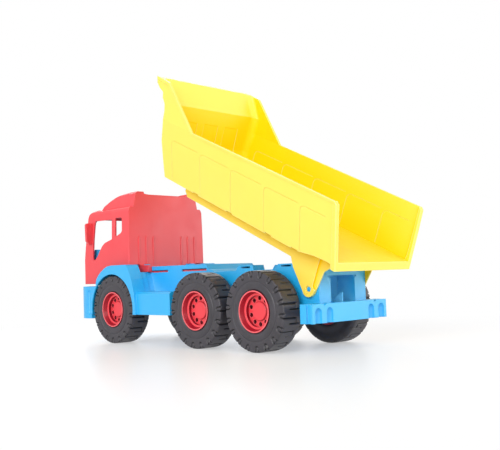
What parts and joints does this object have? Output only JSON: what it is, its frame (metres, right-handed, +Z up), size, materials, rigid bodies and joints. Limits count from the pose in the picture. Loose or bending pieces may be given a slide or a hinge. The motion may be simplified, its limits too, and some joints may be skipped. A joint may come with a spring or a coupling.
{
  "type": "toy dump truck",
  "caption": "Three-axle plastic toy dump truck with an open cab and a tipping body that swings up about two hinge pins behind the rear axle.",
  "frame": {"origin": "on the ground, at the centre of the footprint of the whole truck as it stands with its body raised", "axes": "+X towards the front of the truck, +Y towards its left side, +Z up"},
  "size_m": [0.4484, 0.1512, 0.3187],
  "materials": {
    "blue_plastic": "smooth moulded polypropylene, satin gloss",
    "red_plastic": "smooth moulded polypropylene, satin gloss",
    "yellow_plastic": "smooth moulded polypropylene, satin gloss",
    "black_rubber": "dull moulded rubber",
    "steel_rod": "plain drawn rod"
  },
  "bodies": {
    "truck": {"chassis": "blue_plastic", "cab": "red_plastic", "dashboard": "blue_plastic", "mirror_left": "red_plastic", "mirror_right": "red_plastic", "hinge_pin_left": "blue_plastic", "hinge_pin_right": "blue_plastic"},
    "tipper": {"tipping_body": "yellow_plastic"},
    "front_wheels": {"front_axle": "steel_rod", "front_rim_left": "red_plastic", "front_rim_right": "red_plastic", "front_tyre_left": "black_rubber", "front_tyre_right": "black_rubber"},
    "middle_wheels": {"middle_axle": "steel_rod", "middle_rim_left": "red_plastic", "middle_rim_right": "red_plastic", "middle_tyre_left": "black_rubber", "middle_tyre_right": "black_rubber"},
    "rear_wheels": {"rear_axle": "steel_rod", "rear_rim_left": "red_plastic", "rear_rim_right": "red_plastic", "rear_tyre_left": "black_rubber", "rear_tyre_right": "black_rubber"}
  },
  "joints": [
    {"name": "tip", "type": "hinge", "parent": "truck", "child": "tipper", "pos_m": [-0.15861, 0, 0.0639], "axis": [0, -1, 0], "range_deg": [-25.4, 19.6]},
    {"name": "front_axle_spin", "type": "hinge", "parent": "truck", "child": "front_wheels", "pos_m": [0.14219, 0, 0.0425], "axis": [0, 1, 0], "continuous": true},
    {"name": "middle_axle_spin", "type": "hinge", "parent": "truck", "child": "middle_wheels", "pos_m": [-0.01631, 0, 0.0425], "axis": [0, 1, 0], "continuous": true},
    {"name": "rear_axle_spin", "type": "hinge", "parent": "truck", "child": "rear_wheels", "pos_m": [-0.10931, 0, 0.0425], "axis": [0, 1, 0], "continuous": true}
  ]
}
